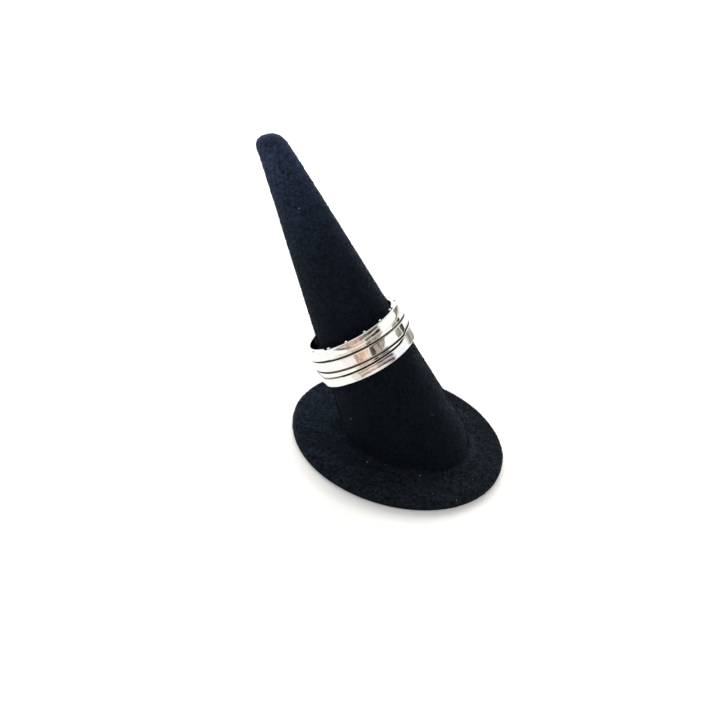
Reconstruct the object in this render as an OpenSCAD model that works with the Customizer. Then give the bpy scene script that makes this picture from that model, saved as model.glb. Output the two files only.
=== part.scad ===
// A wide band ring on the slanted, velvet-covered ring cone that displays it.
// Millimetres, +Z up. The origin is the middle of the foot disc's underside.
// The cone leans towards -X, and the ring hangs on it, a little more slanted than the cone.

/* [Foot disc] */
// Diameter of the disc
base_d = 48; // [44:0.5:60]
// Thickness of the disc
base_t = 2; // [1.6:0.1:3]
// Radius of the disc's rounded rim
base_edge_r = 0.85; // [0.4:0.05:0.95]

/* [Cone] */
// Lean of the cone's axis from the vertical, in degrees
cone_lean = 35; // [25:0.5:38]
// From the disc's middle to where the cone's axis meets the disc
foot_shift = 1.1; // [0:0.1:3]
// Radius of the cone, measured where its axis meets the disc
cone_foot_r = 12.43; // [11:0.01:13]
// Radius that the cone loses over each millimetre of its axis
cone_taper = 0.14; // [0.12:0.005:0.15]
// Length of the axis from the disc to the start of the domed tip
cone_body_l = 68.8; // [50:0.1:70]
// Radius of the tip's rounded corner
tip_corner_r = 2.1; // [1:0.1:2.4]
// Radius of the flatter crown on the tip
tip_crown_r = 4; // [3:0.1:8]
// Radius that the foot is cut to on the side away from the lean, where it would end in a thin wedge
foot_cut_r = 12.9; // [12.8:0.1:16]
// From the disc's middle to the middle of that rounded cut
foot_cut_x = 2.7; // [2:0.1:4]

/* [Ring] */
// Distance along the cone's axis from the disc to the ring's lower rim
ring_seat = 20.1; // [19.9:0.1:21]
// How much further than the cone the ring leans, in degrees
ring_tilt = 5; // [0:0.5:5]
// How far the ring hangs towards the lean, across its own axis
ring_shift = 0.12; // [0:0.02:0.14]
// Inside diameter of the ring
bore_d = 19.6; // [19.5:0.1:20.5]
// Outside diameter of the ring
ring_d = 22.8; // [22.2:0.1:24]
// Width of the ring along its axis
ring_w = 8.7; // [8:0.1:10]
// Width of each edge band
edge_band_w = 2.05; // [1.5:0.05:2.5]
// Wall of the sleeve under the wound band
sleeve_wall = 0.6; // [0.5:0.05:0.9]
// Radius of the rims' outer corners
rim_outer_r = 0.45; // [0.1:0.05:0.5]
// Radius of the rims' inner corners
rim_inner_r = 0.25; // [0.1:0.05:0.35]

/* [Wound band] */
// Distance that the band climbs in one turn
band_pitch = 2.7; // [2.4:0.05:3.6]
// Width of the open seam between two turns, and of the groove above the lower edge band
seam_w = 0.24; // [0.1:0.02:0.3]
// Rounding of the band's edges
band_edge_r = 0.14; // [0.1:0.02:0.4]
// How far the band's middle stands proud of its edges
band_crown = 0.1; // [0:0.02:0.2]
// Where the upper seam starts, in degrees round the ring
seam_start = -125; // [-180:1:180]

/* [Rim dots] */
// Number of small round dimples in each rim
dot_count = 15; // [8:1:24]
// Diameter of a dimple, as a share of the width of the rim's flat face
dot_share = 0.88; // [0.5:0.02:0.9]
// Depth of a dimple
dot_depth = 0.22; // [0.1:0.02:0.3]
// Where the first dimple lies, in degrees round the ring
dot_start = -79; // [-90:1:90]

/* [Hidden] */
$fn = 96;

velvet_colour = [0.04, 0.045, 0.07];
metal_colour = [0.86, 0.86, 0.84];

base_r = base_d / 2;

// the tip: a rounded corner that runs into a flatter crown
tip_r = cone_foot_r - cone_taper * cone_body_l;
taper_angle = atan(cone_taper);
corner_x = tip_r - tip_corner_r * cos(taper_angle);
corner_z = cone_body_l - tip_corner_r * sin(taper_angle);
crown_z = corner_z - sqrt(pow(tip_crown_r - tip_corner_r, 2) - pow(corner_x, 2));
crown_angle = atan2(corner_z - crown_z, corner_x);
// the cone is made longer below the disc's top, and its foot is then cut flat
foot_run = 14;

bore_r = bore_d / 2;
ring_r = ring_d / 2;
sleeve_r = bore_r + sleeve_wall;
// the hollow between the edge bands, which the wound band fills
recess_lo = edge_band_w;
recess_hi = ring_w - edge_band_w;
recess_h = recess_hi - recess_lo;

// the wound band: just clear of the sleeve, and close below the upper edge band
sleeve_clear = 0.08;
top_clear = 0.05;
band_in_r = sleeve_r + sleeve_clear;
band_lo = recess_lo + seam_w;
band_hi = recess_hi - top_clear;
// the height of its two ends, and the angle between its sections
band_tip_h = 0.16;
band_step = 6;
band_full_w = band_pitch - seam_w;
band_from = 360 * band_tip_h / band_pitch;
band_to = 360 * (band_hi - band_lo - band_tip_h + band_full_w) / band_pitch;
band_count = ceil((band_to - band_from) / band_step);

// the dimples lie in the middle of the rim's flat face
rim_flat_w = ring_r - rim_outer_r - bore_r - rim_inner_r;
dot_circle_r = bore_r + rim_inner_r + rim_flat_w / 2;
dot_d = dot_share * rim_flat_w;
// a dimple is the bottom of a sphere whose centre lies outside the rim
dot_sphere_r = (pow(dot_d / 2, 2) + pow(dot_depth, 2)) / (2 * dot_depth);
dot_lift = dot_sphere_r - dot_depth;

// Places its children in the cone's own frame: +Z along its axis, from the disc's top
module on_cone_axis() {
    translate([foot_shift, 0, base_t]) rotate([0, -cone_lean, 0]) children();
}

// Places its children in the ring's own frame: +Z along its axis, from its lower rim
module on_ring_axis() {
    on_cone_axis() translate([0, 0, ring_seat]) rotate([0, -ring_tilt, 0]) translate([-ring_shift, 0, 0])
        children();
}

// The half section of a flat ring with rounded corners of one radius inside and one outside
module ring_section(r_in, r_out, z_lo, z_hi, in_r, out_r) {
    translate([r_in + in_r, z_lo]) square([r_out - out_r - r_in - in_r, z_hi - z_lo]);
    translate([r_in, z_lo + in_r]) square([in_r, z_hi - z_lo - 2 * in_r]);
    translate([r_out - out_r, z_lo + out_r]) square([out_r, z_hi - z_lo - 2 * out_r]);
    for (z = [z_lo + in_r, z_hi - in_r])
        translate([r_in + in_r, z]) circle(r = in_r);
    for (z = [z_lo + out_r, z_hi - out_r])
        translate([r_out - out_r, z]) circle(r = out_r);
}

// The thin round foot disc
module display_base() {
    color(velvet_colour)
    rotate_extrude() {
        square([base_r - base_edge_r, base_t]);
        translate([0, base_edge_r]) square([base_r, base_t - 2 * base_edge_r]);
        for (z = [base_edge_r, base_t - base_edge_r])
            translate([base_r - base_edge_r, z]) circle(r = base_edge_r);
    }
}

// The cone's outline with its domed tip, still reaching past the axis
module cone_outline() {
    polygon([
        [0, -foot_run],
        [cone_foot_r + cone_taper * foot_run, -foot_run],
        [tip_r, cone_body_l],
        [corner_x, corner_z],
        [0, crown_z]
    ]);
    translate([corner_x, corner_z]) circle(r = tip_corner_r);
    // the crown, as far out as it meets the rounded corner
    intersection() {
        translate([0, crown_z]) circle(r = tip_crown_r);
        polygon([
            [0, crown_z],
            [2 * tip_crown_r * cos(crown_angle), crown_z + 2 * tip_crown_r * sin(crown_angle)],
            [0, crown_z + 2 * tip_crown_r]
        ]);
    }
}

// The half section of the cone, on one side of its axis
module cone_section() {
    intersection() {
        cone_outline();
        translate([0, -foot_run]) square([base_d, 2 * foot_run + cone_body_l]);
    }
}

// The room that the cone keeps to: above the disc, and rounded on the side away from the lean
module cone_room() {
    translate([foot_cut_x - 2 * base_d, -base_d, base_t]) cube(2 * base_d);
    translate([foot_cut_x, 0, base_t]) cylinder(r = foot_cut_r, h = base_d);
}

// The slanted cone, cut flat where it stands on the disc
module display_cone() {
    color(velvet_colour)
    intersection() {
        on_cone_axis() rotate_extrude() cone_section();
        cone_room();
    }
}

// The small dimples round one rim, whose face is at height z and looks up (1) or down (-1)
module rim_dots(z, side) {
    for (i = [0 : dot_count - 1])
        rotate([0, 0, dot_start + i * 360 / dot_count])
            translate([dot_circle_r, 0, z + side * dot_lift]) sphere(r = dot_sphere_r, $fn = 24);
}

// The sleeve with its two edge bands, one solid with one bore
module ring_sleeve() {
    color(metal_colour)
    on_ring_axis()
    difference() {
        rotate_extrude() difference() {
            ring_section(bore_r, ring_r, 0, ring_w, rim_inner_r, rim_outer_r);
            translate([sleeve_r, recess_lo]) square([ring_r, recess_h]);
        }
        rim_dots(ring_w, 1);
        rim_dots(0, -1);
    }
}

// The wound band at one angle along its winding: its section as radius and height pairs
function band_section(a) =
    let (
        low = band_hi - band_pitch * a / 360,
        lo = max(low, band_lo),
        hi = min(low + band_full_w, band_hi),
        h = hi - lo,
        c = min(band_edge_r, h / 3),
        crown = band_crown * h / band_full_w
    )
    [
        [band_in_r, lo],
        [ring_r - c, lo],
        [ring_r - 0.3 * c, lo + 0.3 * c],
        [ring_r, lo + c],
        [ring_r + crown, (lo + hi) / 2],
        [ring_r, hi - c],
        [ring_r - 0.3 * c, hi - 0.3 * c],
        [ring_r - c, hi],
        [band_in_r, hi]
    ];

// The band, wound between the edge bands, which cut it off above and below
module spiral_band() {
    angles = [for (i = [0 : band_count]) band_from + (band_to - band_from) * i / band_count];
    corners = len(band_section(angles[0]));
    points = [
        for (a = angles) for (p = band_section(a))
            [p[0] * cos(seam_start + a), p[0] * sin(seam_start + a), p[1]]
    ];
    sides = [
        for (i = [0 : band_count - 1]) for (k = [0 : corners - 1])
            let (m = (k + 1) % corners, here = i * corners, next = here + corners)
            each [[here + k, here + m, next + k], [here + m, next + m, next + k]]
    ];
    first_end = [for (k = [0 : corners - 1]) corners - 1 - k];
    last_end = [for (k = [0 : corners - 1]) band_count * corners + k];
    color(metal_colour)
    on_ring_axis()
    polyhedron(points = points, faces = concat(sides, [first_end], [last_end]));
}

display_base();
display_cone();
ring_sleeve();
spiral_band();
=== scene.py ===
"""A wide band ring on the slanted, flocked ring cone that displays it.

Sizes are in millimetres, apart from those that a comment gives in another unit.
"""

import math
from collections import namedtuple

import bmesh
import bpy
import numpy as np
from mathutils import Matrix, Vector, noise


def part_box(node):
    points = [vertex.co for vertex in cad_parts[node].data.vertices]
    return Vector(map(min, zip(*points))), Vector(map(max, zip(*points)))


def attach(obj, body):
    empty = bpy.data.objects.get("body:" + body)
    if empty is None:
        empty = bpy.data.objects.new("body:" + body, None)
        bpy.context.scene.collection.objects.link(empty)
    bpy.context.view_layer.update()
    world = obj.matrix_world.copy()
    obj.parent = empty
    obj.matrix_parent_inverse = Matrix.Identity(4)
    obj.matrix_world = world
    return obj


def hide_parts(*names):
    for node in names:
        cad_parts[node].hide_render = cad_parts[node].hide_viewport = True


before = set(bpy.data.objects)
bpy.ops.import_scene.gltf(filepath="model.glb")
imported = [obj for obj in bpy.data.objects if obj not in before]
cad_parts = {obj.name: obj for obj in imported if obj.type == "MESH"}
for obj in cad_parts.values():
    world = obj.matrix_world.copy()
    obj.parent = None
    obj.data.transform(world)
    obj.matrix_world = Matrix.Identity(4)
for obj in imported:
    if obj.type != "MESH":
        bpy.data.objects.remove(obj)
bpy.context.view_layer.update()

MM = 0.001
SEED = 7

# the picture: focal length and the origin's place in pixels of a 720 pixel frame
PICTURE = 720
FOCAL_PX = 800
ORIGIN_PX = (397.5, 437.4)
ORIGIN_DEPTH = 182.56
CAMERA_DOWN = math.radians(30.93)
CAMERA_ROLL = math.radians(12.44)
CAMERA_TURN = math.radians(7.67)
SENSOR = 36

# the stand
CONE_LEAN = math.radians(35)
FOOT_SHIFT = 1.1
FOOT_R = 12.43
TAPER = 0.14
BODY_L = 68.8
TIP_CORNER_R = 2.1
TIP_CROWN_R = 4
FOOT_CUT_R = 12.9
FOOT_CUT_X = 2.7
BASE_EDGE_R = 0.85
BASE_LOW_R = 0.4
# the tip's dome is tilted, higher on the side that the cone leans to, over this stretch from the dome's start
TIP_LEAN = math.radians(14)
TIP_LEAN_REACH = (-3, 1)
# how much longer the dome is than the solid's, as a share
TIP_STRETCH = 0.16
# the edge of the cut foot is rounded over this far
FOOT_ROUND = 2.6

# the flock: how far its dense part stands on the solids, and the length and width of the loose fibres on that
PILE = 0.17
FIBRE_L = 0.3
FIBRE_W = 0.06
# how many fibres are set on the disc and as many on the cone, before those inside another piece are left out
FIBRES = 150000
# the cone's flock runs out onto the disc in a hollow curve of this size
FLARE = 0.8
# how far inside the bore the flock stays where the ring presses it
PRESSED_GAP = 0.06
# layers of noise, each with its height, the size of its lumps and its seed
CONE_LUMPS = [(0.1, 16, 1), (0.045, 3.5, 2), (0.07, 0.85, 3)]
DISC_LUMPS = [(0.09, 9, 4), (0.04, 2.2, 5), (0.022, 0.8, 6)]
DISC_RAGGED = [(0.14, 11, 7), (0.06, 1.6, 8), (0.09, 0.8, 13)]

# the larger specks of lint: on the disc by x and y, and on the cone
DISC_LINT = [(-4, -15), (16, -18.3), (10.9, -18.5), (18.3, -9.9), (7.3, -14)]
CONE_LINT = [(-29.84, -4.6, 49.1), (-10.1, -9.6, 8.0)]
# how many bits make up a larger speck, and how many small specks are tried on the disc and on the cone
LINT_BITS = 3
DISC_SPECKS = 60
CONE_SPECKS = 16
LINT_W = 0.07
LINT_LIFT = 0.2

# the ring
RING_SEAT = 20.1
RING_TILT = math.radians(5)
RING_SHIFT = 0.12
BORE_R = 9.8
RING_R = 11.4
RING_W = 8.7
EDGE_BAND_W = 2.05
# the upper edge band's face looks up a little and the lower one's down: half of each one's change in radius
UPPER_LEAN = 0.12
LOWER_LEAN = 0.09
# on the left the lower one's looks up instead, between these stretches in degrees round the ring
LEFT_LEAN = 0.12
LEFT_START = (-175, -160)
LEFT_END = (-116, -98)
UPPER_CROWN = 0.02
LOWER_CROWN = 0.012
SLEEVE_R = BORE_R + 0.6
RIM_OUTER_R = 0.45
LOW_RIM_R = 0.22
TOP_RIM_R = 0.25
# the lower rim's bevel: its height, and how far it runs in
LOW_BEVEL_H = 0.16
LOW_BEVEL_IN = 0.022
RIM_INNER_R = 0.25
RECESS_LO = EDGE_BAND_W
RECESS_HI = RING_W - EDGE_BAND_W
# the recess between the edge bands: how far its corners run out and up, the rows of its floor, and the radius
# of its lower lip
RECESS_CORNER = (0.3, 0.02)
RECESS_ROWS = (3.6, 5.5)
RECESS_LIP_R = 0.1

# the wound band
PITCH = 2.7
SEAM_W = 0.43
SEAM_EDGE_R = 0.1
# the edges of the third turn are sharper, and this is where it begins, in turns
STRIP_EDGE_R = 0.05
THIRD_TURN = (1.97, 2.03)
BAND_IN_R = SLEEVE_R + 0.08
BAND_SIDE_R = RING_R - 0.5
BAND_CROWN = 0.015
# slope of the third turn's face, which looks down a little
STRIP_SLOPE = 0.04
TOP_GAP = 0.05
TOP_EDGE_R = 0.03
LOW_GAP = 0.38
BAND_TIP_H = 0.12
SEAM_START = math.radians(-120)
# the lower groove rises to the seam above it at both ends of its visible stretch, in degrees round the ring
LOW_RISE = 1.1
LOW_RISE_LEFT = (-140, -128)
LOW_RISE_RIGHT = (-30, -4)
# the third turn ends this many degrees before the groove is all the way up
BAND_END_BEFORE = 12

# the dimples in the rims
DIMPLES = 15
DIMPLE_D = 0.9
DIMPLE_DEPTH = 0.26
DIMPLE_CIRCLE_R = (BORE_R + RIM_INNER_R + RING_R - RIM_OUTER_R) / 2
DIMPLE_START = math.radians(-79)

base_lo, base_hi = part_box("display_base")
BASE_R = (base_hi.x - base_lo.x) / 2 / MM
BASE_T = base_hi.z / MM


# Frames and small helpers

def leaning(origin, lean):
    """A frame whose third direction leans from +Z towards -X.

    It is given as its origin and its three directions as rows.
    """
    along = [-math.sin(lean), 0, math.cos(lean)]
    across = [math.cos(lean), 0, math.sin(lean)]
    return np.array(origin, float), np.array([across, [0, 1, 0], along], float)


def to_row(local, points):
    """Points of a leaning frame in the row's frame."""
    origin, directions = local
    return origin + np.asarray(points) @ directions


def from_row(local, points):
    """Points of the row's frame in a leaning frame."""
    origin, directions = local
    return (np.asarray(points) - origin) @ directions.T


CONE = leaning([FOOT_SHIFT, 0, BASE_T], CONE_LEAN)
SEAT = leaning(to_row(CONE, [0, 0, RING_SEAT]), CONE_LEAN + RING_TILT)
RING = (to_row(SEAT, [-RING_SHIFT, 0, 0]), SEAT[1])


def smooth(low, high, x):
    """0 below low, 1 above high, and a smooth ramp between them."""
    t = np.clip((np.asarray(x, float) - low) / (high - low), 0, 1)
    return t * t * (3 - 2 * t)


def arc(centre, radius, start, end, steps):
    """Points on an arc, with its angles in degrees, both ends included."""
    angles = np.radians(np.linspace(start, end, steps + 1))
    return [(centre[0] + radius * math.cos(a), centre[1] + radius * math.sin(a)) for a in angles]


def line(start, end, steps):
    """The points between two ends, without the ends themselves."""
    return [tuple(np.array(start) + (np.array(end) - np.array(start)) * k / steps) for k in range(1, steps)]


def soft_noise(points, size, seed=0):
    """Smooth noise from -1 to 1 at each point, with lumps of about the given size."""
    shift = Vector((seed * 17.3, seed * 5.1, seed * 9.7))
    heights = [noise.noise(Vector(p) / size + shift) for p in points.reshape(-1, 3)]
    return np.array(heights).reshape(points.shape[:-1])


def lumpy(points, layers):
    """Several layers of noise at each point, added up."""
    return sum(height * soft_noise(points, size, seed) for height, size, seed in layers)


def mesh_object(name, points, faces, uvs=None):
    """A smooth-shaded object from points in millimetres, with its faces turned outwards."""
    mesh = bpy.data.meshes.new(name)
    mesh.from_pydata((np.asarray(points) * MM).tolist(), [], faces)
    if uvs is not None:
        layer = mesh.uv_layers.new(name="winding")
        corner_points = np.empty(len(mesh.loops), int)
        mesh.loops.foreach_get("vertex_index", corner_points)
        layer.data.foreach_set("uv", np.asarray(uvs, np.float32)[corner_points].ravel())
    shaped = bmesh.new()
    shaped.from_mesh(mesh)
    bmesh.ops.recalc_face_normals(shaped, faces=shaped.faces)
    shaped.to_mesh(mesh)
    shaped.free()
    mesh.shade_smooth()
    made = bpy.data.objects.new(name, mesh)
    bpy.context.scene.collection.objects.link(made)
    return made


def grid_faces(rows, columns, wrap_rows=False, caps=False):
    """Quads over a grid of points whose columns close round. The rows close round too, or are capped."""
    index = np.arange(rows * columns).reshape(rows, columns)
    lower = index if wrap_rows else index[:-1]
    upper = np.roll(index, -1, axis=0) if wrap_rows else index[1:]
    quads = np.stack([lower, np.roll(lower, -1, 1), np.roll(upper, -1, 1), upper], -1)
    faces = quads.reshape(-1, 4).tolist()
    if caps:
        faces.append(index[0][::-1].tolist())
        faces.append(index[-1].tolist())
    return faces


# Materials

def shader(name, colour, roughness, **inputs):
    """A Principled material, and its nodes and links."""
    material = bpy.data.materials.new(name)
    material.use_nodes = True
    tree = material.node_tree
    body = tree.nodes["Principled BSDF"]
    body.inputs["Base Color"].default_value = (*colour, 1)
    body.inputs["Roughness"].default_value = roughness
    for socket, value in inputs.items():
        body.inputs[socket.replace("_", " ")].default_value = value
    return material, tree, body


def node(tree, kind, **settings):
    """A node with its properties and the default values of its sockets set."""
    made = tree.nodes.new(kind)
    for key, value in settings.items():
        if hasattr(made, key):
            setattr(made, key, value)
        else:
            made.inputs[key.replace("_", " ")].default_value = value
    return made


def noise_from(tree, coordinates, scale, stretch=(1, 1, 1), detail=3, distortion=0):
    """A noise texture on stretched coordinates. Its output is the noise's height."""
    place = node(tree, "ShaderNodeMapping", Scale=stretch)
    tree.links.new(coordinates, place.inputs["Vector"])
    grain = node(tree, "ShaderNodeTexNoise", Scale=scale, Detail=detail, Distortion=distortion)
    tree.links.new(place.outputs["Vector"], grain.inputs["Vector"])
    return grain.outputs["Fac"]


def mixed(tree, share, low, high, blend="MIX"):
    """A colour between two, by share. Each colour is a value or a socket."""
    mix = tree.nodes.new("ShaderNodeMix")
    mix.data_type = "RGBA"
    mix.blend_type = blend
    for socket, value in ((mix.inputs[0], share), (mix.inputs[6], low), (mix.inputs[7], high)):
        if isinstance(value, bpy.types.NodeSocket):
            tree.links.new(value, socket)
        else:
            socket.default_value = value if isinstance(value, (int, float)) else (*value, 1)
    return mix.outputs[2]


def ranged(tree, value, low, high, to_low, to_high, kind="LINEAR"):
    """A value moved from one range to another, and held at its ends."""
    place = tree.nodes.new("ShaderNodeMapRange")
    place.interpolation_type = kind
    place.inputs["From Min"].default_value = low
    place.inputs["From Max"].default_value = high
    place.inputs["To Min"].default_value = to_low
    place.inputs["To Max"].default_value = to_high
    tree.links.new(value, place.inputs["Value"])
    return place.outputs["Result"]


def computed(tree, operation, *values):
    """A math node's result. Each value is a number or a socket."""
    math_node = tree.nodes.new("ShaderNodeMath")
    math_node.operation = operation
    for socket, value in zip(math_node.inputs, values):
        if isinstance(value, bpy.types.NodeSocket):
            tree.links.new(value, socket)
        else:
            socket.default_value = value
    return math_node.outputs[0]


def bumped(tree, body, height, distance, strength=1):
    """A bump on a shader, with its depth in millimetres."""
    bump = tree.nodes.new("ShaderNodeBump")
    bump.inputs["Distance"].default_value = distance * MM
    bump.inputs["Strength"].default_value = strength
    tree.links.new(height, bump.inputs["Height"])
    tree.links.new(bump.outputs["Normal"], body.inputs["Normal"])


def dotted(tree, where, direction):
    """The part of a vector along a fixed direction."""
    product = tree.nodes.new("ShaderNodeVectorMath")
    product.operation = "DOT_PRODUCT"
    product.inputs[1].default_value = tuple(direction)
    tree.links.new(where, product.inputs[0])
    return product.outputs["Value"]


def grey_of(tree, value):
    """A grey colour from a value."""
    grey = node(tree, "ShaderNodeCombineColor")
    for channel in ("Red", "Green", "Blue"):
        tree.links.new(value, grey.inputs[channel])
    return grey.outputs["Color"]


def flock_colour_with_painted_light(tree, where, colour, tuft, on_cone):
    """A flock colour with speckled tufts.

    The cone's is lighter and bluer towards its tip, which is painted light, and darker at its foot, which is
    painted shade; the disc's is painted lighter and bluer on the side that the cone leans to.
    """
    speckle = ranged(tree, tuft, 0.3, 0.7, *(CONE_SPECKLE if on_cone else DISC_SPECKLE))
    speckled = mixed(tree, 1.0, colour, grey_of(tree, speckle), "MULTIPLY")
    if on_cone:
        # painted light: the cone's flock grows lighter and bluer towards its tip, and its foot is a painted
        # shade
        height = ranged(tree, dotted(tree, where, CONE[1][2]), 0, BODY_L * MM, 0, 1)
        painted_light_tone = mixed(tree, computed(tree, "POWER", height, TIP_PAINTED_LIGHT_POWER), FOOT_PAINTED_SHADE, TIP_PAINTED_LIGHT)
    else:
        # painted light: the disc's flock is lighter and bluer on the side that the cone leans to
        start, end = LEAN_SIDE
        side = ranged(tree, dotted(tree, where, (-1, 0, 0)), start * MM, end * MM, 0, 1, "SMOOTHSTEP")
        painted_light_tone = mixed(tree, side, (1.0, 1.0, 1.0), LEAN_SIDE_PAINTED_LIGHT)
    return mixed(tree, 1.0, speckled, painted_light_tone, "MULTIPLY")


def velvet(name, dark, light, streak, sheen, on_cone):
    """Flocked velvet: nearly black, with brushed nap and a soft sheen. streak stretches the nap's noise."""
    material, tree, body = shader(
        name, dark, 1, Specular_IOR_Level=0.05, Sheen_Weight=sheen, Sheen_Roughness=0.5,
        Sheen_Tint=(0.6, 0.78, 1, 1))
    where = tree.nodes.new("ShaderNodeTexCoord").outputs["Object"]
    nap = noise_from(tree, where, NAP_SCALE, stretch=streak, detail=4, distortion=0.6)
    tuft = noise_from(tree, where, TUFT_SCALE, detail=3)
    colour = mixed(tree, ranged(tree, nap, 0.32, 0.7, 0, 1), dark, light)
    # the base colour carries the painted light at the cone's tip and on the disc's lean side, and the painted
    # shade at the cone's foot
    tree.links.new(flock_colour_with_painted_light(tree, where, colour, tuft, on_cone), body.inputs["Base Color"])
    bumped(tree, body, tuft, TUFT_DEPTH)
    return material


def loose_flock(name, colour, on_cone):
    """The standing fibres of the flock."""
    material, tree, body = shader(name, colour, 0.9, Specular_IOR_Level=0.1)
    where = tree.nodes.new("ShaderNodeTexCoord").outputs["Object"]
    tuft = noise_from(tree, where, LOOSE_TUFT_SCALE, detail=3)
    # the fibres' colour carries the same painted light at the cone's tip and on the disc's lean side, and
    # painted shade at the foot
    tree.links.new(flock_colour_with_painted_light(tree, where, colour, tuft, on_cone), body.inputs["Base Color"])
    return material


def polished(name, colour, roughness):
    """Polished white metal, with fine marks of wear along and across the ring."""
    material, tree, body = shader(name, colour, roughness, Metallic=1)
    where = tree.nodes.new("ShaderNodeTexCoord").outputs["UV"]
    along = noise_from(tree, where, 3, stretch=(0.25, 14, 1), detail=5)
    across = noise_from(tree, where, 2.2, stretch=(5, 0.6, 1), detail=5, distortion=1.5)
    patches = noise_from(tree, where, 0.4, detail=3)
    worn = mixed(tree, 0.5, along, across)
    rough = ranged(tree, patches, 0.3, 0.7, roughness * 0.7, roughness * 1.5)
    tree.links.new(rough, body.inputs["Roughness"])
    dimmed = tuple(channel * 0.97 for channel in colour)
    tinted = mixed(tree, ranged(tree, patches, 0.35, 0.65, 0, 1), colour, dimmed)
    tree.links.new(tinted, body.inputs["Base Color"])
    bumped(tree, body, worn, distance=0.0008, strength=0.6)
    return material


# the scales of the brushed nap and of the tufts, per metre, and how deep the tufts look
NAP_SCALE = 320
TUFT_SCALE = 1700
LOOSE_TUFT_SCALE = 1500
TUFT_DEPTH = 0.12
# the flock's speckle, and what its colour is multiplied by at the cone's foot, a painted shade, and at its
# tip, painted light
CONE_SPECKLE = (0.4, 1.8)
DISC_SPECKLE = (0.05, 2.6)
FOOT_PAINTED_SHADE = (0.72, 0.77, 0.77)
TIP_PAINTED_LIGHT = (4.6, 4.8, 6.15)
TIP_PAINTED_LIGHT_POWER = 4.7
# what the disc's colour is multiplied by on the side that the cone leans to, which is painted light there,
# and over which distances from the middle it grows to that
LEAN_SIDE_PAINTED_LIGHT = (1.1, 1.22, 1.42)
LEAN_SIDE = (1, 15)

velvet_dark = (0.0036, 0.0048, 0.0066)
velvet_light = (0.0052, 0.0072, 0.0108)
velvet_fibre = (0.0068, 0.0094, 0.0142)
disc_dark = (0.0031, 0.0042, 0.0053)
disc_light = (0.0076, 0.0104, 0.0136)
disc_fibre = (0.0076, 0.0104, 0.0136)
disc_velvet = velvet("flocked_disc", disc_dark, disc_light, (0.35, 2.4, 1), 0.03, False)
cone_velvet = velvet("flocked_cone", velvet_dark, velvet_light, (1, 1, 0.45), 0.09, True)
disc_flock = loose_flock("disc_fibre", disc_fibre, False)
cone_flock = loose_flock("cone_fibre", velvet_fibre, True)
lint_material = shader("lint", (0.35, 0.37, 0.38), 0.9)[0]
ring_metal = polished("polished_white_metal", (0.93, 0.915, 0.885), 0.045)
band_metal = polished("polished_band", (0.93, 0.915, 0.885), 0.04)
groove_metal = shader("dulled_groove", (0.54, 0.46, 0.37), 0.35, Metallic=1)[0]


# The stand

def cone_section():
    """The cone's outline on its dense flock, as radius and height along its axis, from foot to tip."""
    angle = math.degrees(math.atan(TAPER))
    tip_r = FOOT_R - TAPER * BODY_L
    corner_x = tip_r - TIP_CORNER_R * math.cos(math.radians(angle))
    corner_z = BODY_L - TIP_CORNER_R * math.sin(math.radians(angle))
    crown_z = corner_z - math.sqrt((TIP_CROWN_R - TIP_CORNER_R) ** 2 - corner_x ** 2)
    crown_angle = math.degrees(math.atan2(corner_z - crown_z, corner_x))
    corner = arc((corner_x, corner_z), TIP_CORNER_R + PILE, angle, crown_angle, 14)
    crown = arc((0, crown_z), TIP_CROWN_R + PILE, crown_angle, 89.4, 16)[1:]
    return corner + crown


def pressed(points):
    """Points of the cone with the flock pressed flat where the ring sits on it."""
    local = from_row(RING, points)
    distance = np.hypot(local[..., 0], local[..., 1])
    room = BORE_R - PRESSED_GAP
    height = local[..., 2]
    inside = smooth(-0.5, 0.15, height) * (1 - smooth(RING_W, RING_W + 0.6, height))
    pull = inside * np.clip(distance - room, 0, None) / distance
    local[..., :2] *= (1 - pull)[..., None]
    return to_row(RING, local)


def tucked(points):
    """Points of the cone with its foot drawn in, where a straight cone would end in a thin wedge."""
    from_cut = points - np.array([FOOT_CUT_X, 0, 0])
    distance = np.hypot(np.clip(from_cut[..., 0], 0, None), from_cut[..., 1])
    above = np.clip(points[..., 2] - BASE_T, 0, None)
    room = FOOT_CUT_R + PILE + 0.5 * np.exp(-above / 0.5)
    near = np.clip(FOOT_ROUND - np.abs(distance - room), 0, None)
    kept = np.minimum(distance, room) - near ** 2 / (4 * FOOT_ROUND)
    drawn_in = np.divide(kept, distance, out=np.ones_like(kept), where=distance > 1)
    scale = 1 + (drawn_in - 1) * smooth(-3, 4, from_cut[..., 0])
    moved = points.copy()
    moved[..., 0] = np.where(from_cut[..., 0] > 0, FOOT_CUT_X + from_cut[..., 0] * scale, points[..., 0])
    moved[..., 1] = points[..., 1] * scale
    return moved


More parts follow.
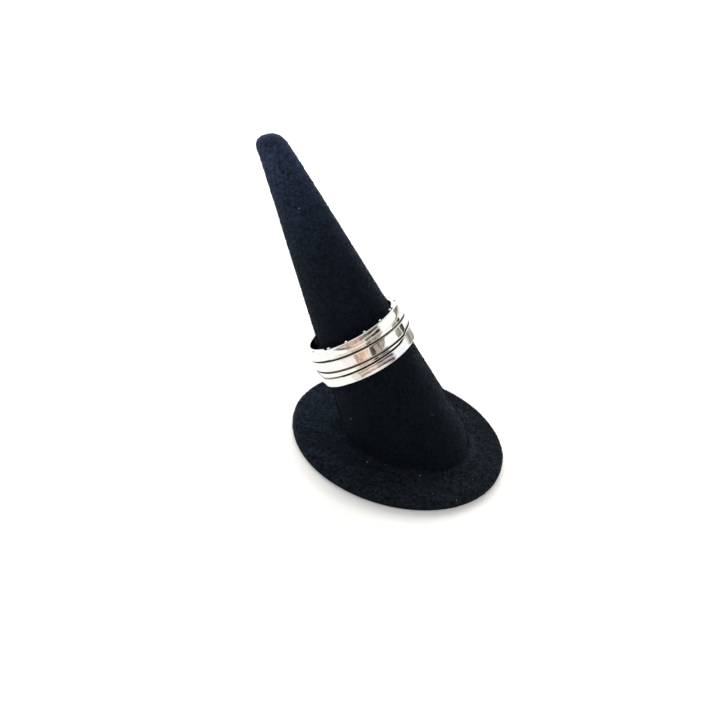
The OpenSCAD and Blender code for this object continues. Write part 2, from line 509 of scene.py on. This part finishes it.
def make_cone():
    """The flocked cone, from its soft foot on the disc to its domed tip."""
    columns = 220
    body_rows = 210
    angles = np.linspace(0, 2 * math.pi, columns, endpoint=False)
    foot_r = FOOT_R + PILE / math.cos(math.atan(TAPER))
    section = cone_section()
    # where the slanted cone meets the disc, a little below the disc's flock
    sink = 0.25
    cosine = np.cos(angles) * math.sin(CONE_LEAN)
    start = (-sink - foot_r * cosine) / (math.cos(CONE_LEAN) - TAPER * cosine)
    end = section[0][1]
    # the rows lie a little closer together at the foot
    share = (np.linspace(0, 1, body_rows) ** 1.15)[:, None]
    heights = start + (end - start) * share
    radii = foot_r - TAPER * heights
    for r, z in section[1:]:
        heights = np.vstack([heights, np.full((1, columns), z)])
        radii = np.vstack([radii, np.full((1, columns), r)])
    heights = heights + np.clip(heights - end, 0, None) * TIP_STRETCH
    leaning_share = smooth(end + TIP_LEAN_REACH[0], end + TIP_LEAN_REACH[1], heights)
    heights = heights - leaning_share * math.tan(TIP_LEAN) * radii * np.cos(angles)
    points = to_row(CONE, np.stack([radii * np.cos(angles), radii * np.sin(angles), heights], -1))
    # the flock runs out onto the disc in a small hollow curve
    above = np.clip(points[..., 2] - BASE_T, 0, None)
    radii = radii + FLARE * np.exp(-above / FLARE)
    # slight waves in the card under the flock, and its uneven surface
    radii = radii + lumpy(points, CONE_LUMPS)
    points = to_row(CONE, np.stack([radii * np.cos(angles), radii * np.sin(angles), heights], -1))
    points = pressed(tucked(points))
    rows = len(points)
    return mesh_object("velvet_cone", points.reshape(-1, 3), grid_faces(rows, columns, caps=True))


def make_disc():
    """The flocked foot disc, with its soft rounded rim and a flat underside."""
    columns = 480
    angles = np.linspace(0, 2 * math.pi, columns, endpoint=False)
    edge = BASE_EDGE_R + PILE
    under = [(r, 0) for r in (1, 8, 16, 21)]
    low = arc((BASE_R + PILE - BASE_LOW_R, BASE_LOW_R), BASE_LOW_R, -90, -10, 7)
    high = arc((BASE_R - BASE_EDGE_R, BASE_T - BASE_EDGE_R), edge, -10, 90, 12)
    across = np.linspace(BASE_R - BASE_EDGE_R, 0.3, 72)[1:]
    top = [(r, BASE_T + PILE) for r in across]
    section = np.array(under + low + high + top)
    radii = np.repeat(section[:, :1], columns, 1)
    heights = np.repeat(section[:, 1:], columns, 1)
    flat = np.stack([radii * np.cos(angles), radii * np.sin(angles), heights], -1)
    upper = smooth(0.5, BASE_T, heights)
    outer = smooth(12, BASE_R, radii)
    heights = heights + upper * lumpy(flat, DISC_LUMPS)
    radii = radii + outer * smooth(0, 0.4, heights) * lumpy(flat, DISC_RAGGED)
    points = np.stack([radii * np.cos(angles), radii * np.sin(angles), heights], -1)
    return mesh_object("velvet_disc", points.reshape(-1, 3), grid_faces(len(section), columns, caps=True))


def surface_samples(piece, count, rng):
    """Random points on a piece's surface, with the normals there, spread evenly over its area."""
    mesh = piece.data
    mesh.calc_loop_triangles()
    corners = np.empty(len(mesh.loop_triangles) * 3, int)
    mesh.loop_triangles.foreach_get("vertices", corners)
    corners = corners.reshape(-1, 3)
    places = np.empty(len(mesh.vertices) * 3)
    mesh.vertices.foreach_get("co", places)
    places = places.reshape(-1, 3) / MM
    normals = np.empty(len(mesh.vertices) * 3)
    mesh.vertices.foreach_get("normal", normals)
    normals = normals.reshape(-1, 3)
    a, b, c = (places[corners[:, k]] for k in range(3))
    area = np.linalg.norm(np.cross(b - a, c - a), axis=1)
    chosen = rng.choice(len(corners), count, p=area / area.sum())
    u, v = rng.random(count), rng.random(count)
    over = u + v > 1
    u[over], v[over] = 1 - u[over], 1 - v[over]
    weights = np.stack([1 - u - v, u, v], 1)[:, :, None]
    points = (places[corners[chosen]] * weights).sum(1)
    directions = (normals[corners[chosen]] * weights).sum(1)
    return points, directions / np.linalg.norm(directions, axis=1, keepdims=True)


def unit(vectors):
    """Vectors of length one."""
    return vectors / np.linalg.norm(vectors, axis=1, keepdims=True)


def fibres(name, points, directions, lengths, width, rng, material):
    """Loose fibres, each one narrow triangle from its root to its tip."""
    sideways = unit(np.cross(directions, rng.normal(size=points.shape)))
    half = sideways * width / 2
    roots = points - directions * 0.03
    tips = points + directions * lengths[:, None]
    corners = np.stack([roots - half, roots + half, tips], 1).reshape(-1, 3)
    faces = np.arange(len(corners)).reshape(-1, 3)
    mesh = bpy.data.meshes.new(name)
    mesh.from_pydata((corners * MM).tolist(), [], faces.tolist())
    made = bpy.data.objects.new(name, mesh)
    bpy.context.scene.collection.objects.link(made)
    mesh.materials.append(material)
    return made


def inside_cone(points, margin):
    """Which points lie inside the cone's flock, or nearer to it than the margin."""
    local = from_row(CONE, points)
    radius = FOOT_R + PILE - TAPER * local[:, 2] + margin
    return np.hypot(local[:, 0], local[:, 1]) < radius


def in_ring(points):
    """Which points lie in the ring's metal, or too near to it for a standing fibre."""
    local = from_row(RING, points)
    distance = np.hypot(local[:, 0], local[:, 1])
    return (distance > BORE_R - 0.05) & (local[:, 2] > -0.06) & (local[:, 2] < RING_W + 0.06)


def cone_fibres(piece, rng):
    """The standing flock of the cone, leaning a little towards its foot."""
    points, normals = surface_samples(piece, FIBRES, rng)
    down = -CONE[1][2]
    patch = soft_noise(points, 5, 11)[:, None]
    lean = 0.25 * down + 0.35 * patch * np.cross(normals, down)
    directions = unit(normals + lean + 0.3 * rng.normal(size=points.shape))
    lengths = FIBRE_L * (0.6 + 0.7 * rng.random(len(points)))
    tips = points + directions * lengths[:, None]
    keep = ~in_ring(tips) & ~in_ring(points) & (points[:, 2] > BASE_T)
    return fibres("cone_flock", points[keep], directions[keep], lengths[keep], FIBRE_W, rng, cone_flock)


def disc_fibres(piece, rng):
    """The standing flock of the disc, brushed in streaks."""
    points, normals = surface_samples(piece, FIBRES, rng)
    stretched = points * np.array([0.35, 2.2, 1])
    patch = soft_noise(stretched, 5, 12)[:, None]
    lean = 0.5 * patch * np.array([0.3, 1, 0]) + 0.2 * np.array([-1, 0.3, 0])
    directions = unit(normals + lean + 0.3 * rng.normal(size=points.shape))
    lengths = FIBRE_L * (0.6 + 0.7 * rng.random(len(points)))
    lengths = lengths * (1 - 0.4 * smooth(BASE_R - 0.8, BASE_R, np.hypot(points[:, 0], points[:, 1])))
    keep = (points[:, 2] > 0.35) & ~inside_cone(points, 0)
    return fibres("disc_flock", points[keep], directions[keep], lengths[keep], FIBRE_W, rng, disc_flock)


def lint(disc, cone, rng):
    """A few pale specks and hairs of dust caught in the flock, and the larger ones at their places."""
    spots = np.array([(x, y, BASE_T + PILE + LINT_LIFT) for x, y in DISC_LINT] + CONE_LINT)
    spots = np.repeat(spots, LINT_BITS, axis=0) + rng.normal(scale=0.06, size=(LINT_BITS * len(spots), 3))
    places = [spots]
    ways = [unit(rng.normal(size=spots.shape) * np.array([1, 0.4, 1]))]
    for piece, count in ((disc, DISC_SPECKS), (cone, CONE_SPECKS)):
        points, normals = surface_samples(piece, count, rng)
        keep = (points[:, 2] > BASE_T) & ~in_ring(points + normals * 0.3)
        keep &= ~inside_cone(points - normals * 0.5, -1) | (piece is cone)
        places.append(points[keep] + normals[keep] * LINT_LIFT)
        ways.append(unit(np.cross(normals[keep], rng.normal(size=(keep.sum(), 3)))))
    points = np.vstack(places)
    directions = np.vstack(ways)
    lengths = 0.1 + 0.45 * rng.random(len(points)) ** 3
    lengths[:len(spots)] = 0.3
    return fibres("lint_specks", points, directions, lengths, LINT_W, rng, lint_material)


# The ring

def dimple_depth(x, y):
    """How deep the rim's face is sunk at a point of it, over the dimples."""
    sphere_r = ((DIMPLE_D / 2) ** 2 + DIMPLE_DEPTH ** 2) / (2 * DIMPLE_DEPTH)
    angle = np.arctan2(y, x) - DIMPLE_START
    step = 2 * math.pi / DIMPLES
    off = angle - np.round(angle / step) * step
    radius = np.hypot(x, y)
    distance = np.hypot(radius * np.cos(off) - DIMPLE_CIRCLE_R, radius * np.sin(off))
    bowl = np.sqrt(np.clip(sphere_r ** 2 - distance ** 2, 0, None)) - (sphere_r - DIMPLE_DEPTH)
    return np.clip(bowl, 0, None)


def edge_wall(start, end, lean, crown):
    """An edge band's face between two heights, slightly crowned.

    Its lower end is further out by twice the lean.
    """
    middle = (start + end) / 2
    half = (end - start) / 2
    share = np.linspace(-1, 1, 15)
    radii = RING_R + crown * (1 - share ** 2) - lean * share
    return list(zip(radii, middle + half * share))


def wrapped(angle):
    """An angle in radians as degrees from -180 to 180."""
    return (np.degrees(angle) + 180) % 360 - 180


def low_rise(angle):
    """How far the lower groove has risen at an angle round the ring, in radians."""
    turned = wrapped(angle)
    return LOW_RISE * (1 - smooth(*LOW_RISE_LEFT, turned) + smooth(*LOW_RISE_RIGHT, turned))


def sleeve_section():
    """The closed half section of the sleeve with its two edge bands.

    With it come the first and the last row of the stretch that is the groove.
    """
    lip = RECESS_LIP_R
    low_wall = edge_wall(LOW_RIM_R + LOW_BEVEL_H, RECESS_LO - lip, -LOWER_LEAN, LOWER_CROWN)
    bevel = [(low_wall[0][0] - LOW_BEVEL_IN, LOW_RIM_R)]
    top_wall = edge_wall(RECESS_HI + TOP_EDGE_R, RING_W - TOP_RIM_R, UPPER_LEAN, UPPER_CROWN)
    low_r = bevel[0][0] - LOW_RIM_R
    top_r = top_wall[-1][0] - TOP_RIM_R
    bore = line((BORE_R, RING_W - RIM_INNER_R), (BORE_R, RIM_INNER_R), 14)
    low_in = arc((BORE_R + RIM_INNER_R, RIM_INNER_R), RIM_INNER_R, 180, 270, 8)
    low_face = line((BORE_R + RIM_INNER_R, 0), (low_r, 0), 14)
    low_out = arc((low_r, LOW_RIM_R), LOW_RIM_R, -90, -6, 8) + line(bevel[0], low_wall[0], 4)
    low_lip = arc((low_wall[-1][0] - lip, RECESS_LO - lip), lip, 0, 90, 6)
    out, up = RECESS_CORNER
    floor = [(SLEEVE_R + out, RECESS_LO), (SLEEVE_R, RECESS_LO + up)]
    floor += [(SLEEVE_R, height) for height in RECESS_ROWS]
    floor += [(SLEEVE_R, RECESS_HI - up), (SLEEVE_R + out, RECESS_HI)]
    top_lip = arc((top_wall[0][0] - TOP_EDGE_R, RECESS_HI + TOP_EDGE_R), TOP_EDGE_R, -90, 0, 4)
    top_out = arc((top_r, RING_W - TOP_RIM_R), TOP_RIM_R, 0, 90, 10)
    top_face = line((top_r, RING_W), (BORE_R + RIM_INNER_R, RING_W), 14)
    top_in = arc((BORE_R + RIM_INNER_R, RING_W - RIM_INNER_R), RIM_INNER_R, 90, 180, 8)
    before = bore + low_in + low_face + low_out + low_wall[:-1] + low_lip
    section = before + floor + top_lip + top_wall[1:-1] + top_out + top_face + top_in
    return np.array(section), len(before) - 1, len(before) + len(floor)


def make_sleeve():
    """The sleeve with its edge bands, its rims dimpled all round."""
    section, groove_from, groove_to = sleeve_section()
    samples = 30
    pitch = 2 * math.pi / DIMPLES
    t = np.linspace(-1, 1, samples, endpoint=False)
    offsets = np.sign(t) * np.abs(t) ** 1.5 * pitch / 2
    angles = np.concatenate([DIMPLE_START + k * pitch + offsets for k in range(DIMPLES)])
    # the lower edge band's face tips over on the left
    share = np.clip((section[:, 1:] - RECESS_LO / 2) / (RECESS_LO / 2), -1, 1)
    outside = (section[:, :1] > SLEEVE_R + 0.2) & (section[:, 1:] < RECESS_LO - 0.001)
    left = smooth(*LEFT_START, wrapped(angles)) * (1 - smooth(*LEFT_END, wrapped(angles)))
    tipped = 1 - outside * share * left * (LOWER_LEAN + LEFT_LEAN) / section[:, :1]
    x = section[:, :1] * np.cos(angles) * tipped
    y = section[:, :1] * np.sin(angles) * tipped
    z = np.repeat(section[:, 1:], len(angles), 1)
    # the lower edge band is wider where the lower groove rises
    risen = np.where(z < RECESS_LO + 0.1, smooth(LOW_RIM_R, RECESS_LO, z), 0) * low_rise(angles)
    risen = np.where(section[:, :1] > SLEEVE_R - 0.01, risen, 0)
    sunk = dimple_depth(x, y)
    z = z + risen - np.where(z > RING_W - 0.02, sunk, 0) + np.where(z < 0.02, sunk, 0)
    points = to_row(RING, np.stack([x, y, z], -1)).reshape(-1, 3)
    uvs = np.stack([np.repeat(angles[None], len(section), 0) * RING_R, z], -1).reshape(-1, 2)
    faces = grid_faces(len(section), len(angles), wrap_rows=True)
    made = mesh_object("ring_with_edge_bands", points, faces, uvs)
    made.data.materials.append(ring_metal)
    made.data.materials.append(groove_metal)
    rows = np.repeat(np.arange(len(section)), len(angles))
    dull = ((rows >= groove_from) & (rows < groove_to)).astype(np.int32)
    made.data.polygons.foreach_set("material_index", dull)
    return made


def band_section(turn):
    """The wound band's section where it has wound this many turns, as radius and height pairs."""
    full = PITCH - SEAM_W
    low = RECESS_HI - TOP_GAP - PITCH * turn
    bottom = max(low, RECESS_LO + LOW_GAP + float(low_rise(SEAM_START + turn * 2 * math.pi)))
    top = min(low + full, RECESS_HI - TOP_GAP)
    height = max(top - bottom, BAND_TIP_H)
    bottom = top - height
    narrow = float(smooth(*THIRD_TURN, turn))
    seam_r = SEAM_EDGE_R + (STRIP_EDGE_R - SEAM_EDGE_R) * narrow
    low_r = min(seam_r, height / 3)
    top_r = min(seam_r if top < RECESS_HI - TOP_GAP else TOP_EDGE_R, height / 3)
    crown = BAND_CROWN * height / full
    lean = STRIP_SLOPE * (top - bottom) / 2 * narrow
    face = []
    for share in np.linspace(0, 1, 13)[1:-1]:
        z = bottom + low_r + (top - top_r - bottom - low_r) * share
        face.append((RING_R + crown * (1 - (2 * share - 1) ** 2) + lean * (2 * share - 1), z))
    lower = arc((RING_R - lean - low_r, bottom + low_r), low_r, -90, 0, 5)
    upper = arc((RING_R + lean - top_r, top - top_r), top_r, 0, 90, 5)
    below = [(BAND_IN_R, bottom), (BAND_SIDE_R, bottom)]
    above = [(BAND_SIDE_R, top), (BAND_IN_R, top)]
    return below + lower + face + upper + above


def make_band():
    """The flat band wound between the edge bands."""
    first = BAND_TIP_H / PITCH
    # the third turn ends where the lower groove has nearly risen to the seam
    last = 2 + (math.radians(LOW_RISE_RIGHT[1] - BAND_END_BEFORE) - SEAM_START) / (2 * math.pi)
    steps = 620
    turns = np.linspace(first, last, steps + 1)
    sections = np.array([band_section(t) for t in turns])
    angles = (SEAM_START + turns * 2 * math.pi)[:, None]
    x = sections[..., 0] * np.cos(angles)
    y = sections[..., 0] * np.sin(angles)
    points = to_row(RING, np.stack([x, y, sections[..., 1]], -1)).reshape(-1, 3)
    uvs = np.stack([np.repeat(angles, sections.shape[1], 1) * RING_R, sections[..., 1]], -1).reshape(-1, 2)
    columns = sections.shape[1]
    made = mesh_object("wound_band", points, grid_faces(steps + 1, columns, caps=True), uvs)
    made.data.materials.append(band_metal)
    made.data.materials.append(groove_metal)
    column = np.arange(len(made.data.polygons)) % columns
    hidden = (column < 2) | (column > columns - 4)
    made.data.polygons.foreach_set("material_index", hidden.astype(np.int32))
    return made


# Stage, light and camera

# Soft-edged panels of colour in the room, which the metal mirrors. Turn goes round the ring's axis, in
# degrees from its first direction, and rise is the part of a direction along that axis. A panel's colour
# varies from dark to light in bars across the bands, in lines along them or in sharper stripes.
Panel = namedtuple("Panel", "turn rise soft lean grain dark light")

# the rises that the upper edge band, the wound band's wide and narrow turns and the lower edge band mirror
UPPER = (-0.25, 0.16)
UPPER_TOP = (-0.03, 0.2)
MIDDLE = (-0.375, -0.25)
MIDDLE_RIGHT = (-0.375, -0.264)
STRIP = (-0.455, -0.375)
LOWER = (-0.572, -0.455)

# lean is how far the panel's two sides shift along the turn for each unit of rise
PANELS = [
    Panel((-178, -88), (-1.2, 0.3), 14, (0, 0), "bars", (1.03, 1.06, 1.03), (1.10, 1.13, 1.12)),
    Panel((-130, 30), (0.16, 0.8), 10, (0, 0), "bars", (0.34, 0.33, 0.32), (0.78, 0.78, 0.79)),
    Panel((-35, 0), (0.08, 0.8), 5, (0, 0), "bars", (0.07, 0.07, 0.06), (0.30, 0.30, 0.29)),
    Panel((-124, -96), (-0.25, -0.115), 6, (0, 0), "bars", (0.70, 0.68, 0.60), (0.92, 0.88, 0.80)),
    Panel((-104, -54), UPPER, 3, (110, 0), "stripes", (0.74, 0.57, 0.45), (1.0, 0.88, 0.77)),
    Panel((-98, -58), UPPER_TOP, 5, (0, 0), "bars", (0.46, 0.32, 0.24), (0.72, 0.54, 0.43)),
    Panel((-126, -105), (-0.06, 0.2), 3, (430, 430), "lines", (0.12, 0.10, 0.08), (0.33, 0.29, 0.25)),
    Panel((-64, -52), (-0.02, 0.2), 3, (0, 0), "lines", (0.14, 0.12, 0.10), (0.40, 0.35, 0.30)),
    Panel((-98, -54), (-0.25, -0.09), 5, (0, 0), "bars", (0.84, 0.75, 0.67), (0.97, 0.90, 0.82)),
    Panel((-54, -42), UPPER, 2, (0, 0), "stripes", (0.11, 0.09, 0.07), (0.62, 0.61, 0.50)),
    Panel((-43, -15), UPPER, 3.5, (0, 0), "stripes", (0.003, 0.002, 0.002), (0.62, 0.54, 0.48)),
    Panel((-45, -22), (-0.35, -0.145), 2, (0, 0), "bars", (0.006, 0.005, 0.004), (0.10, 0.09, 0.07)),
    Panel((22, 66), (-0.25, -0.165), 5, (0, 0), "bars", (0.86, 0.86, 0.76), (1.0, 1.0, 0.92)),
    Panel((130, 149), (-0.23, -0.148), 3, (-586, -586), "lines", (0.14, 0.14, 0.12), (0.36, 0.36, 0.31)),
    Panel((43, 74), (-0.171, -0.075), 4, (0, 0), "bars", (0.13, 0.13, 0.11), (0.36, 0.36, 0.32)),
    Panel((-120, -92), MIDDLE, 5, (0, 0), "bars", (0.98, 0.90, 0.90), (1.04, 1.0, 1.0)),
    Panel((-92, -76), MIDDLE, 2, (0, 0), "bars", (0.42, 0.25, 0.19), (0.84, 0.60, 0.49)),
    Panel((-78, -57), MIDDLE, 2, (0, 0), "bars", (0.76, 0.46, 0.36), (1.0, 0.80, 0.67)),
    Panel((-32, -57), MIDDLE, 2, (-100, 0), "bars", (0.84, 0.76, 0.68), (1.0, 0.95, 0.88)),
    Panel((-52, 25), MIDDLE, 3, (0, -150), "bars", (0.17, 0.135, 0.11), (0.70, 0.62, 0.54)),
    Panel((-57, -45), MIDDLE, 1.2, (0, 0), "bars", (0.02, 0.015, 0.012), (0.22, 0.17, 0.135)),
    Panel((17, 33), MIDDLE_RIGHT, 2, (0, 0), "bars", (0.12, 0.13, 0.10), (0.46, 0.47, 0.40)),
    Panel((35, 50), MIDDLE_RIGHT, 2, (0, 0), "bars", (0.010, 0.014, 0.008), (0.16, 0.16, 0.12)),
    Panel((-104, -92), STRIP, 4, (0, 0), "bars", (0.75, 0.68, 0.66), (0.92, 0.86, 0.86)),
    Panel((-92, -57), STRIP, 3, (0, 0), "bars", (0.38, 0.27, 0.21), (0.78, 0.62, 0.52)),
    Panel((-57, -46), STRIP, 1.5, (0, 0), "bars", (0.006, 0.005, 0.004), (0.07, 0.055, 0.04)),
    Panel((-46, -38), STRIP, 2, (0, 0), "bars", (0.12, 0.11, 0.09), (0.40, 0.37, 0.31)),
    Panel((-38, -17), STRIP, 2.5, (0, 0), "bars", (0.03, 0.032, 0.028), (0.12, 0.125, 0.11)),
    Panel((-120, -100), LOWER, 4, (0, 0), "bars", (0.72, 0.74, 0.62), (0.94, 0.96, 0.86)),
    Panel((-104, -76), LOWER, 3, (0, 0), "stripes", (0.34, 0.24, 0.20), (0.76, 0.60, 0.50)),
    Panel((-79, -56), LOWER, 3, (0, 0), "stripes", (0.42, 0.29, 0.23), (0.91, 0.73, 0.62)),
    Panel((-58, -36), LOWER, 2.5, (0, 0), "stripes", (0.06, 0.042, 0.04), (0.58, 0.47, 0.43)),
    Panel((-38, -12), LOWER, 2.5, (0, 0), "stripes", (0.04, 0.027, 0.034), (0.55, 0.45, 0.48)),
    Panel((-12, -5), LOWER, 3, (0, 0), "bars", (0.50, 0.49, 0.58), (0.84, 0.84, 0.92)),
    Panel((-8, 28), LOWER, 3, (0, 0), "bars", (0.94, 1.02, 1.06), (0.99, 1.06, 1.10)),
    Panel((42, 80), (-0.45, -0.35), 6, (0, 0), "bars", (0.20, 0.19, 0.17), (0.52, 0.50, 0.46)),
]
ROOM_WHITE = (1.09, 1.11, 1.12)
PANEL_SOFT_RISE = 0.015
# how far the panels' edges are ragged, in degrees
PANEL_RAGGED = 2
# the stripes: a wave over rise, how far the noise shifts it and where it starts, both in radians, and between
# which of its values they go from dark to light
STRIPE_RATE = 75
STRIPE_SHIFT = 1.2
STRIPE_START = 2.7
STRIPE_EDGES = (-0.2, 0.45)

# the floor's glow is painted light; its strength grows over two stretches from the origin, which are in
# metres, so that it is a painted shade round the disc's foot and brighter further out
PAINTED_SHADE_GLOW = (0.19, 0.32)
PAINTED_SHADE_GLOW_REACH = (0.026, 0.029)
PAINTED_LIGHT_GLOW = (0, 0.8)
PAINTED_LIGHT_GLOW_REACH = (0.06, 0.3)
# the world's light, and the white that the camera sees behind the object
WORLD_LIGHT = (0.76, 0.78, 0.8)
BACKDROP = (1.3, 1.3, 1.3)


def grained(tree, turn, rise, turn_scale, rise_scale):
    """Noise over turn and rise, from about 0 to 1."""
    place = tree.nodes.new("ShaderNodeCombineXYZ")
    tree.links.new(computed(tree, "MULTIPLY", turn, turn_scale), place.inputs["X"])
    tree.links.new(computed(tree, "MULTIPLY", rise, rise_scale), place.inputs["Y"])
    grain = node(tree, "ShaderNodeTexNoise", Scale=1.0, Detail=4.0, Roughness=0.6)
    tree.links.new(place.outputs["Vector"], grain.inputs["Vector"])
    return ranged(tree, grain.outputs["Fac"], 0.38, 0.62, 0, 1)


def past(tree, value, limit, soft, rising=True):
    """1 on one side of a soft-edged limit and 0 on the other."""
    low, high = (0, 1) if rising else (1, 0)
    return ranged(tree, value, limit - soft, limit + soft, low, high, "SMOOTHSTEP")


def panelled(tree, turn, rise):
    """The white of the room with the panels laid over it, by turn and rise."""
    ragged = grained(tree, turn, rise, 0.06, 14)
    shifted = computed(tree, "MULTIPLY", ragged, STRIPE_SHIFT)
    wave = computed(tree, "ADD", computed(tree, "MULTIPLY", rise, STRIPE_RATE), shifted)
    wave = computed(tree, "SINE", computed(tree, "ADD", wave, STRIPE_START))
    grains = {
        "bars": grained(tree, turn, rise, 0.17, 6),
        "lines": grained(tree, turn, rise, 0.03, 12),
        "stripes": ranged(tree, wave, *STRIPE_EDGES, 0, 1),
    }
    turn = computed(tree, "ADD", turn, ranged(tree, ragged, 0, 1, -PANEL_RAGGED, PANEL_RAGGED))
    colour = ROOM_WHITE
    for panel in PANELS:
        left, right = (computed(tree, "ADD", turn, computed(tree, "MULTIPLY", rise, lean))
                       for lean in panel.lean)
        across_share = computed(tree, "MULTIPLY", past(tree, left, panel.turn[0], panel.soft),
                                past(tree, right, panel.turn[1], panel.soft, False))
        along_share = computed(tree, "MULTIPLY", past(tree, rise, panel.rise[0], PANEL_SOFT_RISE),
                               past(tree, rise, panel.rise[1], PANEL_SOFT_RISE, False))
        own = mixed(tree, grains[panel.grain], panel.dark, panel.light)
        colour = mixed(tree, computed(tree, "MULTIPLY", across_share, along_share), colour, own)
    return colour


def mirrored_room(tree):
    """The colour of the room in the direction of a ray that leaves the polished metal."""
    where = tree.nodes.new("ShaderNodeTexCoord").outputs["Generated"]
    across, level, rise = (dotted(tree, where, direction) for direction in RING[1])
    turn = computed(tree, "MULTIPLY", computed(tree, "ARCTAN2", level, across), 180 / math.pi)
    return panelled(tree, turn, rise)


def area_light(name, place, size, energy, colour):
    """A soft light that looks at the foot of the object. Its place, width and height are in millimetres."""
    light = bpy.data.lights.new(name, "AREA")
    light.shape = "RECTANGLE"
    light.size = size[0] * MM
    light.size_y = size[1] * MM
    light.energy = energy
    light.color = colour
    lamp = bpy.data.objects.new(name, light)
    bpy.context.scene.collection.objects.link(lamp)
    lamp.location = Vector(place) * MM
    lamp.rotation_mode = "QUATERNION"
    lamp.rotation_quaternion = (Vector((0, 0, 15 * MM)) - lamp.location).to_track_quat("-Z", "Y")
    lamp.visible_glossy = False


def make_stage():
    """A pale floor that glows a little as painted light, with a painted shade round the disc, a bright world
    and one large window behind on the left.
    """
    reach = 6000
    level = -0.03
    corners = [(-reach, -reach, level), (reach, -reach, level), (reach, reach, level), (-reach, reach, level)]
    floor = mesh_object("floor", corners, [(0, 1, 2, 3)])
    material, tree, body = shader("pale_floor", (0.63, 0.62, 0.6), 0.9, Specular_IOR_Level=0.1,
                                  Emission_Color=(1, 0.98, 0.95, 1))
    where = tree.nodes.new("ShaderNodeTexCoord").outputs["Object"]
    far = node(tree, "ShaderNodeVectorMath", operation="LENGTH")
    tree.links.new(where, far.inputs[0])
    # painted shade: the glow is weaker right round the disc; painted light: it grows further out
    painted_shade_near_disc = ranged(tree, far.outputs["Value"], *PAINTED_SHADE_GLOW_REACH, *PAINTED_SHADE_GLOW, "SMOOTHSTEP")
    painted_light_far_out = ranged(tree, far.outputs["Value"], *PAINTED_LIGHT_GLOW_REACH, *PAINTED_LIGHT_GLOW)
    tree.links.new(computed(tree, "ADD", painted_shade_near_disc, painted_light_far_out), body.inputs["Emission Strength"])
    floor.data.materials.append(material)
    floor.visible_glossy = False

    world = bpy.data.worlds.new("bright_room")
    bpy.context.scene.world = world
    world.use_nodes = True
    tree = world.node_tree
    path = tree.nodes.new("ShaderNodeLightPath")
    seen = mixed(tree, path.outputs["Is Camera Ray"], WORLD_LIGHT, BACKDROP)
    colour = mixed(tree, path.outputs["Is Glossy Ray"], seen, mirrored_room(tree))
    tree.links.new(colour, tree.nodes["Background"].inputs["Color"])

    area_light("window", (-220, 600, 370), (1100, 650), 19, (1, 0.98, 0.95))


def make_camera():
    """The camera of the picture, worked out from where the origin lies in it."""
    down = (math.cos(CAMERA_DOWN), math.sin(CAMERA_DOWN))
    level = np.array([math.cos(CAMERA_TURN), math.sin(CAMERA_TURN), 0])
    away = np.array([-math.sin(CAMERA_TURN), math.cos(CAMERA_TURN), 0])
    up = np.array([0, 0, 1.0])
    forward = down[0] * away - down[1] * up
    above = down[1] * away + down[0] * up
    right = math.cos(CAMERA_ROLL) * level + math.sin(CAMERA_ROLL) * above
    top = math.cos(CAMERA_ROLL) * above - math.sin(CAMERA_ROLL) * level
    x = (ORIGIN_PX[0] - PICTURE / 2) / FOCAL_PX * ORIGIN_DEPTH
    y = (ORIGIN_PX[1] - PICTURE / 2) / FOCAL_PX * ORIGIN_DEPTH
    place = -(x * right - y * top + ORIGIN_DEPTH * forward)
    data = bpy.data.cameras.new("camera")
    data.sensor_width = SENSOR
    data.lens = FOCAL_PX / PICTURE * SENSOR
    data.clip_start = 0.005
    data.clip_end = 10
    camera = bpy.data.objects.new("camera", data)
    bpy.context.scene.collection.objects.link(camera)
    turn = Matrix(np.array([right, top, -forward]).T.tolist())
    camera.matrix_world = Matrix.Translation(Vector(place * MM)) @ turn.to_4x4()
    bpy.context.scene.camera = camera


# Putting it together

rng = np.random.default_rng(SEED)

disc = make_disc()
disc.data.materials.append(disc_velvet)
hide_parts("display_base")
cone = make_cone()
cone.data.materials.append(cone_velvet)
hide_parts("display_cone")
sleeve = make_sleeve()
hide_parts("ring_sleeve")
band = make_band()
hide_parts("spiral_band")

disc_pile = disc_fibres(disc, rng)
cone_pile = cone_fibres(cone, rng)
specks = lint(disc, cone, rng)

slots = {
    disc: "velvet_base",
    cone: "velvet_cone",
    disc_pile: "velvet_base",
    cone_pile: "velvet_cone",
    specks: "velvet_base",
    sleeve: "ring_metal",
    band: "band_metal",
}
for piece, slot in slots.items():
    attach(piece, "root")

make_stage()
make_camera()

settings = bpy.context.scene.view_settings
settings.view_transform = "Standard"
settings.look = "None"
settings.exposure = 0
settings.gamma = 1
